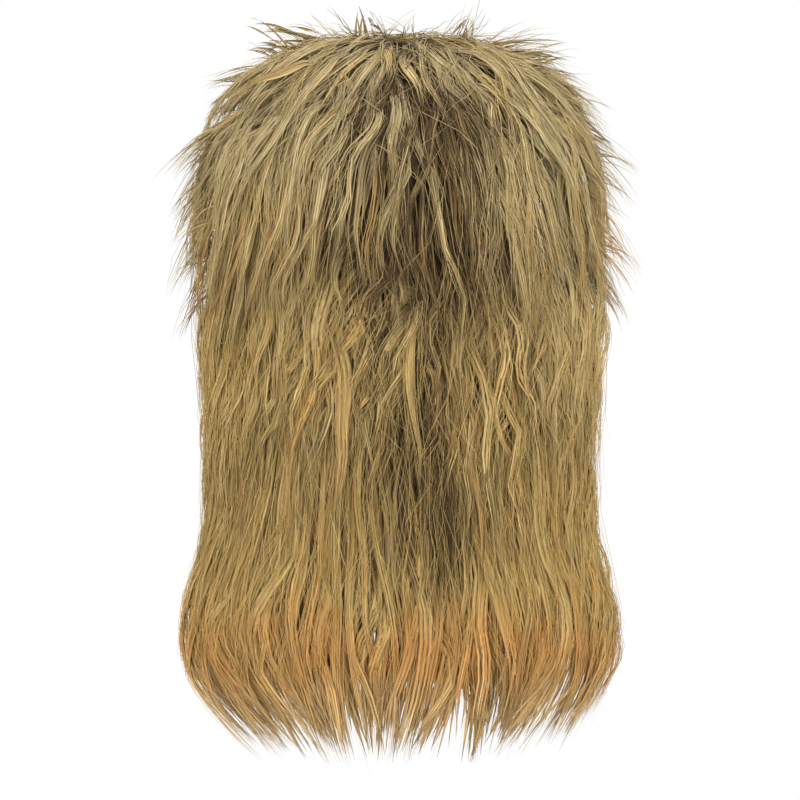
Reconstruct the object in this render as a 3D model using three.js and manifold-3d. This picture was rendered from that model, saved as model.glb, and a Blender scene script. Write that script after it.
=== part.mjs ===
// A shaggy mullet wig in the form that it has when worn: a stretch cap with a bound edge, and over it the hair
// in layers of pointed locks, short at the front and crown and long behind the ears.
// Millimetres. X runs from ear to ear, -Y is the wearer's front and +Z is up. The origin is the top of the
// cap's hollow, where it sits on the crown of the head.
import * as THREE from "three";
import { mergeVertices } from "three/addons/utils/BufferGeometryUtils.js";
import Module from "manifold-3d";

const wasm = await Module();
wasm.setup();

// The head that the cap fits
const headWidth = 154;
const headLength = 194;
const headHeight = 100; // from the crown down to the widest level
const headRound = 2.2; // exponent of the rounded section, where 2 is an ellipse

// The cap and its edge
const capWall = 1.6;
const tapeWall = 1.2;
const tapeHeight = 10;
const capColumns = 40;
const capRows = 7;

// The hair: how far it stands off the head, and how far down it hangs
const crownBulk = 20;
const sideBulk = 57;
const backBulk = 41;
const frontBulk = 21;
const longestDrop = 456; // from the crown to the level where the long locks end
const crownRound = 2.8; // exponent of the hair's outline over the crown
const frontRound = 2.4;

// The locks
const columns = 96; // a lock is two columns wide
const crownRows = 6; // sections from the crown to the widest level
const tipRetreat = 0.7; // how far short of its section a lock may end, in sections
const tipFlick = 5;
const leafWall = 2; // least thickness of a layer
const lockRelief = 4.5; // depth of the valleys between locks
const tuftReach = 50;
const tuftWidth = 16;
const tuftSink = 0.14; // how far under its layer's face a tuft starts, as a share of the hair's depth
const hemSway = 3; // most that a long lock's end swings aside, in degrees of azimuth

// Room between pieces
const fitGap = 0.4; // round the cap's wall
const layerGap = 0.7; // from one layer to the next
const seatGap = 1.3; // under the hair, over the edge tape
const seamGap = 0.6; // between neighbours in one layer

const degrees = Math.PI / 180;
const hairSeat = capWall + fitGap + tapeWall + seatGap;
const headSide = headWidth / 2 + hairSeat;
const headReach = headLength / 2 + hairSeat;

// The cap's edge: how far it lies below the crown, as a share of headHeight, from the front (azimuth 0) round
// to the nape.
const capEdge = [
  { azimuth: 0, drop: 0.58 },
  { azimuth: 36, drop: 0.66 },
  { azimuth: 63, drop: 0.9 },
  { azimuth: 76, drop: 1.16 },
  { azimuth: 92, drop: 0.94 },
  { azimuth: 109, drop: 1.2 },
  { azimuth: 135, drop: 1.46 },
  { azimuth: 180, drop: 1.6 },
];

// Sections of the hanging hair, downwards. fall is a share of the way from the head's widest level to the long
// tips. innerSide and innerBack are shares of the half-width and half-length under the hair, side and back are
// shares of sideBulk and backBulk, and shift moves the section's middle back, as a share of the half-length.
const fallSections = [
  { fall: 0.086, innerSide: 1.07, innerBack: 0.975, side: 0.87, back: 1.02, shift: 0 },
  { fall: 0.172, innerSide: 1.13, innerBack: 0.86, side: 0.78, back: 1.2, shift: 0 },
  { fall: 0.273, innerSide: 1.16, innerBack: 0.86, side: 0.68, back: 1.08, shift: 0 },
  { fall: 0.374, innerSide: 1.17, innerBack: 0.84, side: 0.62, back: 0.96, shift: 0.02 },
  { fall: 0.474, innerSide: 1.17, innerBack: 0.81, side: 0.6, back: 0.9, shift: 0.04 },
  { fall: 0.575, innerSide: 1.19, innerBack: 0.79, side: 0.55, back: 0.86, shift: 0.1 },
  { fall: 0.675, innerSide: 1.4, innerBack: 0.84, side: 0.47, back: 0.76, shift: 0.22 },
  { fall: 0.776, innerSide: 1.49, innerBack: 0.9, side: 0.42, back: 0.68, shift: 0.36 },
  { fall: 0.876, innerSide: 1.47, innerBack: 0.94, side: 0.38, back: 0.6, shift: 0.42 },
  { fall: 0.977, innerSide: 1.34, innerBack: 0.96, side: 0.3, back: 0.46, shift: 0.42 },
];

// The layers of hair, from the scalp outwards. from and to are azimuths, and root and tip count the sections from
// the crown, which is 0. cover says how much of the hair's depth the layer reaches at each section from its root
// on. lockStart is 1 where the ridges take the odd columns and 0 where they take the even ones. flick is the
// share of tipFlick that the tips are lifted by. A ragged layer's tips end at two sections in turn.
const layers = [
  {
    name: "long_back_locks", colour: 0xb99a63, from: 97.5, to: 262.5, root: 6, tip: 16, lockStart: 1,
    flick: 0.4, ragged: true,
    cover: [0.26, 0.34, 0.42, 0.52, 0.64, 0.76, 0.92, 1, 1, 1, 1],
  },
  {
    name: "middle_back_locks", colour: 0xb39762, from: 97.5, to: 262.5, root: 4, tip: 11, lockStart: 0,
    flick: 0.6,
    cover: [0.26, 0.42, 0.54, 0.64, 0.76, 0.88, 0.98, 1],
  },
  {
    name: "left_side_locks", colour: 0xb89c66, from: 52.5, to: 97.5, root: 3, tip: 8, lockStart: 1,
    flick: 0.6,
    cover: [0.4, 0.68, 0.88, 0.97, 1, 1],
  },
  {
    name: "right_side_locks", colour: 0xb89c66, from: 262.5, to: 307.5, root: 3, tip: 8, lockStart: 1,
    flick: 0.6,
    cover: [0.4, 0.68, 0.88, 0.97, 1, 1],
  },
  {
    name: "fringe", colour: 0xb79b68, from: 307.5, to: 412.5, root: 2, tip: 6, lockStart: 1,
    flick: 0.2,
    cover: [0.44, 0.7, 0.88, 1, 1],
  },
  {
    name: "upper_back_locks", colour: 0xa88f5e, from: 97.5, to: 262.5, root: 2, tip: 8, lockStart: 1,
    flick: 0.6,
    cover: [0.46, 0.66, 0.82, 0.9, 0.96, 1, 1],
  },
  {
    name: "crown_locks", colour: 0xa48b5c, from: 0, to: 360, root: 0, tip: 4, lockStart: 0,
    flick: 0.4,
    cover: [1, 1, 1, 1, 1],
  },
];

// Tufts that stand out from the outline. azimuth and section say where a tuft leaves its layer. out, down and
// along are where its tip lies from there, as shares of tuftReach: away from the head, downwards, and round it
// towards the wearer's right. width is a share of tuftWidth.
const tufts = [
  { layer: "crown_locks", azimuth: 112, section: 1.5, out: 0.84, down: -0.24, along: -0.12, width: 0.75 },
  { layer: "crown_locks", azimuth: 98, section: 2.6, out: 0.68, down: 0.24, along: 0.12, width: 0.81 },
  { layer: "crown_locks", azimuth: 150, section: 0.8, out: 0.24, down: -0.3, along: -0.16, width: 0.56 },
  { layer: "crown_locks", azimuth: 222, section: 1.3, out: 0.32, down: -0.36, along: 0.18, width: 0.56 },
  { layer: "crown_locks", azimuth: 252, section: 2.1, out: 0.76, down: 0.08, along: 0.12, width: 0.75 },
  { layer: "crown_locks", azimuth: 257, section: 3.2, out: 0.64, down: 0.48, along: -0.08, width: 0.88 },
  { layer: "crown_locks", azimuth: 80, section: 2.9, out: 0.56, down: 0.44, along: -0.14, width: 0.81 },
  { layer: "crown_locks", azimuth: 279, section: 2.7, out: 0.6, down: 0.32, along: 0.14, width: 0.81 },
  { layer: "crown_locks", azimuth: 134, section: 3.1, out: 0.48, down: 0.72, along: 0.1, width: 0.81 },
  { layer: "crown_locks", azimuth: 209, section: 3.2, out: 0.48, down: 0.76, along: -0.12, width: 0.81 },
  { layer: "upper_back_locks", azimuth: 109, section: 4.4, out: 0.8, down: 0.84, along: 0.06, width: 0.94 },
  { layer: "upper_back_locks", azimuth: 104, section: 5.2, out: 0.4, down: 0.8, along: -0.08, width: 0.75 },
  { layer: "upper_back_locks", azimuth: 254, section: 4.6, out: 0.68, down: 0.6, along: -0.06, width: 0.88 },
  { layer: "upper_back_locks", azimuth: 257, section: 6.2, out: 0.56, down: 0.6, along: 0.08, width: 0.81 },
  { layer: "upper_back_locks", azimuth: 250, section: 6.5, out: 0.48, down: 0.68, along: -0.08, width: 0.75 },
  { layer: "upper_back_locks", azimuth: 103, section: 6.4, out: 0.32, down: 0.68, along: 0.1, width: 0.75 },
  { layer: "left_side_locks", azimuth: 72, section: 6.4, out: 0.24, down: 0.88, along: -0.12, width: 0.75 },
  { layer: "right_side_locks", azimuth: 287, section: 6.4, out: 0.24, down: 0.88, along: 0.12, width: 0.75 },
];

const signedPower = (value, exponent) => Math.sign(value) * Math.abs(value) ** exponent;
const mix = THREE.MathUtils.lerp;

// A fixed value from -1 to 1 for each lock, so that no two hang alike.
function scatter(index, salt) {
  const wave = Math.sin(index * 12.9898 + salt * 78.233) * 43758.5453;
  return 2 * (wave - Math.floor(wave)) - 1;
}

// The point at an azimuth of a level section that reaches side, front and back of the head's middle line.
function planPoint(azimuth, { side, front, back, middle = 0, z }) {
  const across = signedPower(Math.sin(azimuth * degrees), 2 / headRound);
  const ahead = signedPower(Math.cos(azimuth * degrees), 2 / headRound);
  const depth = ahead > 0 ? front + middle : back - middle;
  return new THREE.Vector3(side * across, middle - depth * ahead, z);
}

// The point of a rounded dome at an azimuth and at an angle from the crown, where 90 degrees is the widest.
function domePoint(azimuth, angle, { side, front, back, height }, round) {
  const out = signedPower(Math.sin(angle * degrees), 2 / round);
  const up = signedPower(Math.cos(angle * degrees), 2 / round);
  const z = height * up - headHeight;
  return planPoint(azimuth, { side: side * out, front: front * out, back: back * out, z });
}

// A point of the head's surface, or of one that lies offset outside it.
function headPoint(azimuth, angle, offset) {
  const [side, reach, height] = [headWidth / 2 + offset, headLength / 2 + offset, headHeight + offset];
  return domePoint(azimuth, angle, { side, front: reach, back: reach, height }, headRound);
}

// The angle from the crown at which the cap ends, at an azimuth.
function edgeAngle(azimuth) {
  const turned = Math.min(azimuth, 360 - azimuth);
  const next = Math.max(1, capEdge.findIndex((row) => row.azimuth >= turned));
  const [low, high] = [capEdge[next - 1], capEdge[next]];
  const drop = mix(low.drop, high.drop, THREE.MathUtils.smoothstep(turned, low.azimuth, high.azimuth));
  return Math.acos(signedPower(1 - drop, headRound / 2)) / degrees;
}

const angleOf = (length) => length / (headHeight * degrees);

function meshOf(name, geometry, colour, roughness) {
  geometry.computeVertexNormals();
  const material = new THREE.MeshStandardMaterial({ color: colour, roughness, metalness: 0 });
  const mesh = new THREE.Mesh(geometry, material);
  mesh.name = name;
  return mesh;
}

function geometryOf(points, faces) {
  const geometry = new THREE.BufferGeometry().setFromPoints(points);
  geometry.setIndex(faces.flat());
  return geometry;
}

// A ring of closed profiles: profileAt gives the same number of points at each azimuth, in order round the
// profile. Every cell is split from its upper corner at one azimuth to its lower corner at the next, as the
// cap's are.
function ringGeometry(count, profileAt) {
  const profiles = Array.from({ length: count }, (_, i) => profileAt((i * 360) / count));
  const size = profiles[0].length;
  const faces = [];
  for (let i = 0; i < count; i++) {
    for (let k = 0; k < size; k++) {
      const after = (k + 1) % size;
      const [here, next] = [i * size, ((i + 1) % count) * size];
      const downwards = profiles[i][k].z > profiles[i][after].z;
      if (downwards) faces.push([here + k, next + k, next + after], [here + k, next + after, here + after]);
      else faces.push([here + k, next + k, here + after], [next + k, next + after, here + after]);
    }
  }
  return geometryOf(profiles.flat(), faces);
}

// The cap is a sheet over the dome, thickened inwards from its outer face.
function capMesh() {
  const sheet = [];
  const outer = [headPoint(0, 0, capWall)];
  const inner = [headPoint(0, 0, 0)];
  for (let i = 0; i < capColumns; i++) {
    const azimuth = (i * 360) / capColumns;
    const edge = edgeAngle(azimuth);
    const binding = edge - angleOf(tapeHeight);
    for (let row = 1; row <= capRows; row++) {
      const angle = row === capRows ? edge : (binding * row) / (capRows - 1);
      outer.push(headPoint(azimuth, angle, capWall));
      inner.push(headPoint(azimuth, angle, 0));
    }
  }
  for (let i = 0; i < capColumns; i++) {
    const [here, next] = [1 + i * capRows, 1 + ((i + 1) % capColumns) * capRows];
    sheet.push([0, here, next]);
    for (let row = 0; row < capRows - 1; row++) {
      sheet.push([here + row, here + row + 1, next + row + 1], [here + row, next + row + 1, next + row]);
    }
  }
  return meshOf("cap", slab(sheet, outer, inner), 0x4a3a2c, 0.9);
}

// The tape is folded round the cap's edge, with one leg inside and one outside.
function bindingMesh() {
  const legInside = -fitGap;
  const legOutside = capWall + fitGap;
  const geometry = ringGeometry(capColumns, (azimuth) => {
    const edge = edgeAngle(azimuth);
    const top = edge - angleOf(tapeHeight);
    const fold = edge + angleOf(fitGap);
    const bottom = fold + angleOf(tapeWall);
    return [
      headPoint(azimuth, top, legOutside + tapeWall),
      headPoint(azimuth, bottom, legOutside + tapeWall),
      headPoint(azimuth, bottom, legInside - tapeWall),
      headPoint(azimuth, top, legInside - tapeWall),
      headPoint(azimuth, top, legInside),
      headPoint(azimuth, fold, legInside),
      headPoint(azimuth, fold, legOutside),
      headPoint(azimuth, top, legOutside),
    ].reverse();
  });
  return meshOf("edge_binding", geometry, 0x3a2e26, 0.85);
}

// A closed solid between two sheets with the same faces, walled along the sheets' open edges.
function slab(sheet, outer, inner) {
  const count = outer.length;
  const faces = [];
  const edges = new Map();
  for (const [a, b, c] of sheet) {
    faces.push([a, b, c], [count + c, count + b, count + a]);
    for (const [start, end] of [[a, b], [b, c], [c, a]]) {
      if (!edges.delete(`${end},${start}`)) edges.set(`${start},${end}`, [start, end]);
    }
  }
  for (const [start, end] of edges.values()) {
    faces.push([end, start, count + start], [end, count + start, count + end]);
  }
  return geometryOf([...outer, ...inner], faces);
}

// Where the hair starts and ends at an azimuth of a section, which may lie between two of them.
const sectionCount = crownRows + 1 + fallSections.length;
function hairSpan(section, azimuth) {
  const low = Math.min(Math.floor(section), sectionCount - 2);
  const [first, second] = [spanAt(low, azimuth), spanAt(low + 1, azimuth)];
  const share = section - low;
  return { inner: first.inner.lerp(second.inner, share), outer: first.outer.lerp(second.outer, share) };
}

function spanAt(section, azimuth) {
  if (section <= crownRows) {
    const angle = (90 * section) / crownRows;
    const facing = Math.max(0, Math.cos(azimuth * degrees));
    const head = { side: headSide, front: headReach, back: headReach, height: headHeight + hairSeat };
    const hair = {
      side: headSide + sideBulk,
      front: headReach + frontBulk,
      back: headReach + backBulk,
      height: head.height + crownBulk,
    };
    return {
      inner: domePoint(azimuth, angle, head, headRound),
      outer: domePoint(azimuth, angle, hair, mix(crownRound, frontRound, facing)),
    };
  }
  const row = fallSections[section - crownRows - 1];
  const z = -mix(headHeight, longestDrop, row.fall);
  const [side, back] = [headSide * row.innerSide, headReach * row.innerBack];
  const [front, middle] = [headReach, headReach * row.shift];
  return {
    inner: planPoint(azimuth, { side, front, back, middle, z }),
    outer: planPoint(azimuth, {
      side: side + sideBulk * row.side,
      front: front + frontBulk,
      back: back + backBulk * row.back,
      middle,
      z,
    }),
  };
}

// How deep the hair is already filled at each section and column, as a share of its depth there.
const filled = Array.from({ length: sectionCount }, () => new Array(columns).fill(0));
const columnOf = (index) => ((index % columns) + columns) % columns;

// One layer: a sheet of grid cells that ends in a point at each ridge, between the layers below it and its own
// cover.
function layerMesh(layer) {
  const whole = layer.to - layer.from === 360;
  const first = Math.round((layer.from * columns) / 360);
  const last = Math.round((layer.to * columns) / 360) - (whole ? 1 : 0);
  const width = last - first + 1;
  const isRidge = (i) => (i + layer.lockStart) % 2 === 0 && (whole || (i > first && i < last));
  const tipOf = (i) => layer.tip - (layer.ragged && scatter(i, layer.tip) > 0.2 ? 1 : 0);
  const ends = Array.from({ length: width }, (_, k) => {
    const i = first + k;
    if (isRidge(i)) return tipOf(i);
    const ridges = [i - 2, i - 1, i + 1, i + 2].filter((n) => isRidge(n));
    return Math.min(...ridges.map(tipOf)) - 1;
  });

  const [outer, inner, placed] = [[], [], new Map()];
  const taken = [];
  const place = (section, k) => {
    const i = first + k;
    const apex = section === 0;
    const key = apex ? "apex" : `${section},${k}`;
    if (placed.has(key)) return placed.get(key);
    const seam = whole || (k > 0 && k < width - 1) ? 0 : Math.sign(width / 2 - k) * (seamGap / 2);
    const atEnd = section === ends[k];
    const sway = atEnd && layer.ragged ? hemSway * scatter(i, 5) : 0;
    const reach = (headSide + sideBulk) * degrees;
    const azimuth = (apex ? 0 : (i * 360) / columns) + seam / reach + sway;
    const retreat = atEnd && isRidge(i) ? tipRetreat * (0.5 + 0.5 * scatter(i, layer.root)) : 0;
    const span = hairSpan(section - retreat, azimuth);
    const depth = span.outer.distanceTo(span.inner);
    const growth = (section - layer.root) / (layer.tip - layer.root);
    const valley = isRidge(i) || apex ? 0 : lockRelief * Math.min(1, Math.max(0, growth) * 1.5);
    let under = filled[section][columnOf(i)];
    if (retreat > 0) under = Math.max(under, filled[section - 1][columnOf(i)]);
    const lift = atEnd && isRidge(i) ? (layer.flick * tipFlick) / depth : 0;
    const cover = layer.cover[section - layer.root] - valley / depth;
    const outside = Math.max(cover + lift, under + leafWall / depth);
    const inside = atEnd ? Math.max(under, outside - leafWall / depth) : under;
    outer.push(span.inner.clone().lerp(span.outer, outside));
    inner.push(span.inner.clone().lerp(span.outer, inside));
    taken.push({ section, column: columnOf(i), top: outside + layerGap / depth, apex });
    placed.set(key, outer.length - 1);
    return outer.length - 1;
  };

  const sheet = [];
  const pairs = whole ? width : width - 1;
  for (let k = 0; k < pairs; k++) {
    const next = (k + 1) % width;
    const shared = Math.min(ends[k], ends[next]);
    for (let s = layer.root; s < shared; s++) {
      const [a, b, c, d] = [place(s, k), place(s + 1, k), place(s + 1, next), place(s, next)];
      if (a === d) sheet.push([a, b, c]);
      else if ((first + k) % 2 === 0) sheet.push([a, b, c], [a, c, d]);
      else sheet.push([a, b, d], [b, c, d]);
    }
    for (let s = shared; s < Math.max(ends[k], ends[next]); s++) {
      const longer = ends[k] > ends[next] ? k : next;
      const shorter = longer === k ? next : k;
      const tip = [place(shared, shorter), place(s, longer), place(s + 1, longer)];
      sheet.push(longer === k ? tip : tip.reverse());
    }
  }
  for (const { section, column, top, apex } of taken) {
    if (!apex) filled[section][column] = Math.max(filled[section][column], top);
  }
  return { geometry: slab(sheet, outer, inner), layer };
}

// A tuft is a bent, four-sided taper from inside its layer to its tip.
function tuftGeometry({ azimuth, section, out, down, along, width }, { cover, root }) {
  const span = hairSpan(section, azimuth);
  const covered = mix(cover[Math.floor(section) - root], cover[Math.ceil(section) - root], section % 1);
  const away = planPoint(azimuth, { side: 1, front: 1, back: 1, z: 0 }).normalize();
  const round = new THREE.Vector3(away.y, -away.x, 0);
  const start = span.inner.clone().lerp(span.outer, covered - tuftSink);
  const tip = span.outer.clone().addScaledVector(away, out * tuftReach);
  tip.addScaledVector(round, along * tuftReach);
  tip.z -= down * tuftReach;
  const bend = start.clone().lerp(tip, 0.5);
  bend.z += 0.12 * start.distanceTo(tip);
  const curve = new THREE.QuadraticBezierCurve3(start, bend, tip);
  const steps = 5;
  const points = [];
  for (let i = 0; i < steps; i++) {
    const at = curve.getPoint(i / steps);
    const forward = curve.getTangent(i / steps);
    const flat = new THREE.Vector3().crossVectors(forward, away).normalize();
    const thick = new THREE.Vector3().crossVectors(flat, forward).normalize();
    const size = width * tuftWidth * Math.sqrt(1 - i / steps);
    for (const [u, v] of [[0.5, 0], [0, 0.25], [-0.5, 0], [0, -0.25]]) {
      points.push(at.clone().addScaledVector(flat, u * size).addScaledVector(thick, v * size));
    }
  }
  points.push(tip);
  const faces = [[0, 1, 2], [0, 2, 3]];
  for (let i = 0; i < steps - 1; i++) {
    for (let k = 0; k < 4; k++) {
      const [here, after] = [i * 4 + k, i * 4 + ((k + 1) % 4)];
      faces.push([here, here + 4, after + 4], [here, after + 4, after]);
    }
  }
  for (let k = 0; k < 4; k++) {
    faces.push([(steps - 1) * 4 + k, steps * 4, (steps - 1) * 4 + ((k + 1) % 4)]);
  }
  return geometryOf(points, faces);
}

function solidOf(geometry) {
  const bare = new THREE.BufferGeometry();
  bare.setAttribute("position", geometry.getAttribute("position").clone());
  bare.setIndex(geometry.getIndex().clone());
  const merged = mergeVertices(bare);
  const vertProperties = merged.getAttribute("position").array;
  const triVerts = new Uint32Array(merged.getIndex().array);
  return new wasm.Manifold(new wasm.Mesh({ numProp: 3, vertProperties, triVerts }));
}

function geometryFromSolid(solid) {
  const mesh = solid.getMesh();
  const geometry = new THREE.BufferGeometry();
  geometry.setAttribute("position", new THREE.BufferAttribute(mesh.vertProperties, mesh.numProp));
  geometry.setIndex(new THREE.BufferAttribute(mesh.triVerts, 1));
  return geometry;
}

function withTufts({ geometry, layer }) {
  const own = tufts.filter((tuft) => tuft.layer === layer.name).map((tuft) => tuftGeometry(tuft, layer));
  const solid = own.reduce((joined, tuft) => joined.add(solidOf(tuft)), solidOf(geometry));
  return meshOf(layer.name, geometryFromSolid(solid), layer.colour, 0.55);
}

const wig = new THREE.Group();
wig.name = "mullet_wig";
wig.add(capMesh(), bindingMesh());
for (const layer of layers) wig.add(withTufts(layerMesh(layer)));

export default wig;
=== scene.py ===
import math

import bpy
import numpy as np
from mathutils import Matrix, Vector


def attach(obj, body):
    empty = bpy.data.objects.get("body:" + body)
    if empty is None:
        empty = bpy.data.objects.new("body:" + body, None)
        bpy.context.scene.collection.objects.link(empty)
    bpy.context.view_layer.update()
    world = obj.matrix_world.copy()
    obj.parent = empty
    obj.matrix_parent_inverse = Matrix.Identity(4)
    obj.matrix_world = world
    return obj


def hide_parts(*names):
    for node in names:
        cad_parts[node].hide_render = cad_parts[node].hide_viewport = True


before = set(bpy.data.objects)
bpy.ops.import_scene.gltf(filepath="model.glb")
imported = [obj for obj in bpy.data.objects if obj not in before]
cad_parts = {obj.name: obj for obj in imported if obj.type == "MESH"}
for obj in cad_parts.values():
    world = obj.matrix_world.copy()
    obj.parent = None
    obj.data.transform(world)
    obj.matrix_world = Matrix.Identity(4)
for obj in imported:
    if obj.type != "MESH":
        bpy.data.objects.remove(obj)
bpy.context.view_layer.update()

# Cap: the stretch cap that goes over the head, knitted from dark brown elastic yarn. The rows of hair are
# sewn to its outside. Its shape comes from the solids, and here it gets its knitted finish.

MM = 0.001


class Value:
    """A number that changes over a surface. Maths on it adds the nodes that work it out."""

    def __init__(self, finish, socket):
        self.finish = finish
        self.socket = socket

    def maths(self, operation, first, second=0.0):
        node = self.finish.add("ShaderNodeMath", {"operation": operation}, {0: first, 1: second})
        return Value(self.finish, node.outputs[0])

    def __add__(self, other):
        return self.maths("ADD", self, other)

    def __radd__(self, other):
        return self.maths("ADD", other, self)

    def __sub__(self, other):
        return self.maths("SUBTRACT", self, other)

    def __rsub__(self, other):
        return self.maths("SUBTRACT", other, self)

    def __mul__(self, other):
        return self.maths("MULTIPLY", self, other)

    def __rmul__(self, other):
        return self.maths("MULTIPLY", other, self)

    def between(self, low, high):
        """0 at low and 1 at high, with soft ends. low may be the larger."""
        sockets = {"Value": self, "From Min": low, "From Max": high, "To Min": 0.0, "To Max": 1.0}
        node = self.finish.add("ShaderNodeMapRange", {"interpolation_type": "SMOOTHSTEP"}, sockets)
        return Value(self.finish, node.outputs["Result"])


class Finish:
    """A material as it is put together, node by node."""

    def __init__(self, name, roughness=0.5, sheen=0.0):
        self.material = bpy.data.materials.new(name)
        self.material.use_nodes = True
        self.tree = self.material.node_tree
        self.shader = self.tree.nodes["Principled BSDF"]
        self.shader.inputs["Roughness"].default_value = roughness
        self.shader.inputs["Sheen Weight"].default_value = sheen

    def add(self, kind, settings=None, sockets=None):
        node = self.tree.nodes.new(kind)
        for name, value in (settings or {}).items():
            if name == "stops":
                stops = node.color_ramp.elements
                while len(stops) < len(value):
                    stops.new(1.0)
                for stop, (place, colour) in zip(stops, value):
                    stop.position = place
                    stop.color = colour
            else:
                setattr(node, name, value)
        for name, value in (sockets or {}).items():
            self.join(node.inputs[name], value)
        return node

    def join(self, socket, value):
        if isinstance(value, Value):
            value = value.socket
        if isinstance(value, bpy.types.NodeSocket):
            self.tree.links.new(value, socket)
        else:
            socket.default_value = value

    def mix(self, share, first, second, how="MIX"):
        """The colour that lies that share of the way from first to second."""
        settings = {"data_type": "RGBA", "blend_type": how}
        return self.add("ShaderNodeMix", settings, {0: share, 6: first, 7: second}).outputs[2]

    def relief(self, height, depth):
        """Bumps of that depth, in metres."""
        node = self.add("ShaderNodeBump", {}, {"Height": height, "Distance": depth, "Strength": 1.0})
        self.join(self.shader.inputs["Normal"], node.outputs["Normal"])


def dye(red, green, blue):
    """A colour as seen, in steps of 255, as the amounts of light that a shader wants."""
    seen = [step / 255 for step in (red, green, blue)]
    return (*[s / 12.92 if s <= 0.04045 else ((s + 0.055) / 1.055) ** 2.4 for s in seen], 1.0)


def knit(finish, rows_a_metre):
    """Ribs that run round the head, broken into stitches, as a height from 0 to 1."""
    place = finish.add("ShaderNodeTexCoord").outputs["Object"]
    sockets = {"Vector": place, "Scale": rows_a_metre, "Distortion": 1.5, "Detail": 1.0}
    ribs = finish.add("ShaderNodeTexWave", {"bands_direction": "Z"}, sockets)
    sockets = {"Vector": place, "Scale": rows_a_metre * 3, "Detail": 1.0}
    stitches = finish.add("ShaderNodeTexNoise", {}, sockets)
    return Value(finish, ribs.outputs["Fac"]) * 0.6 + Value(finish, stitches.outputs["Fac"]) * 0.4


def wear(node, finish):
    """Gives a CAD node its finish, as its only material."""
    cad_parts[node].data.materials.clear()
    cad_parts[node].data.materials.append(finish.material)


net = Finish("stretch_net", roughness=0.85, sheen=0.2)
loops = knit(net, rows_a_metre=60.0)
net.join(net.shader.inputs["Base Color"], net.mix(loops, dye(58, 46, 36), dye(112, 92, 72)))
net.relief(loops, 0.6 * MM)
wear("cap", net)

# Edge binding: a soft woven elastic tape, folded over the cap's edge and stitched through. It is a little
# darker than the net, with fine ribs along its length.

tape = Finish("woven_tape", roughness=0.8, sheen=0.15)
ribs = knit(tape, rows_a_metre=160.0)
tape.join(tape.shader.inputs["Base Color"], tape.mix(ribs, dye(46, 37, 30), dye(84, 69, 55)))
tape.relief(ribs, 0.3 * MM)
wear("edge_binding", tape)

# Long back locks: the lowest rear layer, sewn on from behind the ears down and cut to points below the
# shoulders. It is crimped synthetic hair in mixed straw, ash and gold, with warm ends and paler tips. Each
# lock is a few flat bands of hair with single hairs over them.

HEAD_SIDE, HEAD_REACH, HEAD_TOP = 81.5 * MM, 101.5 * MM, 104.5 * MM  # the surface that the hair is sewn on
WIDEST = -100 * MM  # the head's widest level
LONG_TIPS = -456 * MM  # the level of the longest tips
TOP_BULK, SIDE_BULK, BACK_BULK, FRONT_BULK = 20 * MM, 57 * MM, 41 * MM, 21 * MM  # how thick the hair lies
HEAD_ROUND, CROWN_ROUND, FRONT_ROUND = 2.2, 2.8, 2.4  # 2 is an ellipse, and more is squarer
MOST_BEHIND, MOST_BESIDE = 11 * MM, 26 * MM  # how far a tip may stand off the hair's outline
STEEPEST = 0.2  # how far a stiff hair leans out, as the sine of its angle to the outline
CROWN_SECTIONS = 6  # from the crown to the widest level. Below it there is one for each entry of FALL
EASING = 10  # steps in a section where its corners are eased
FALL = {  # shares of the way down, of the head's inner sizes, of the hair's bulk, and of the head's reach
    "down": [0, 0.086, 0.172, 0.273, 0.374, 0.474, 0.575, 0.675, 0.776, 0.876, 0.977, 1.06],
    "inner_side": [1, 1.07, 1.13, 1.16, 1.17, 1.17, 1.19, 1.4, 1.49, 1.47, 1.34, 1.2],
    "inner_back": [1, 0.975, 0.86, 0.86, 0.84, 0.81, 0.79, 0.84, 0.9, 0.94, 0.96, 0.97],
    "side": [1, 0.87, 0.78, 0.68, 0.62, 0.6, 0.55, 0.47, 0.42, 0.38, 0.3, 0.25],
    "back": [1, 1.02, 1.2, 1.08, 0.96, 0.9, 0.86, 0.76, 0.68, 0.6, 0.46, 0.38],
    "shift": [0, 0, 0, 0, 0.02, 0.04, 0.1, 0.22, 0.36, 0.42, 0.42, 0.42],
}


def power(value, exponent):
    return np.sign(value) * np.abs(value) ** exponent


def plan_point(azimuth, side, front, back, middle, height):
    """Points of level sections that reach side, front and back of the head's middle line."""
    across = power(np.sin(np.radians(azimuth)), 2 / HEAD_ROUND)
    ahead = power(np.cos(np.radians(azimuth)), 2 / HEAD_ROUND)
    depth = np.where(ahead > 0, front + middle, back - middle)
    return np.stack([side * across, middle - depth * ahead, height + 0 * across], -1)


def softened(name):
    """A column of FALL in small steps, with its corners eased. Each end is carried on by its mirror."""
    half = EASING // 2
    steps = np.arange(0, len(FALL[name]) - 1 + 0.001, 1 / EASING)
    sharp = np.interp(steps, np.arange(len(FALL[name])), FALL[name])
    before, after = 2 * sharp[0] - sharp[half:0:-1], 2 * sharp[-1] - sharp[-2 : -2 - half : -1]
    return np.convolve(np.concatenate([before, sharp, after]), np.ones(EASING + 1) / (EASING + 1), "valid")


EASED = {name: softened(name) for name in FALL}


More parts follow.
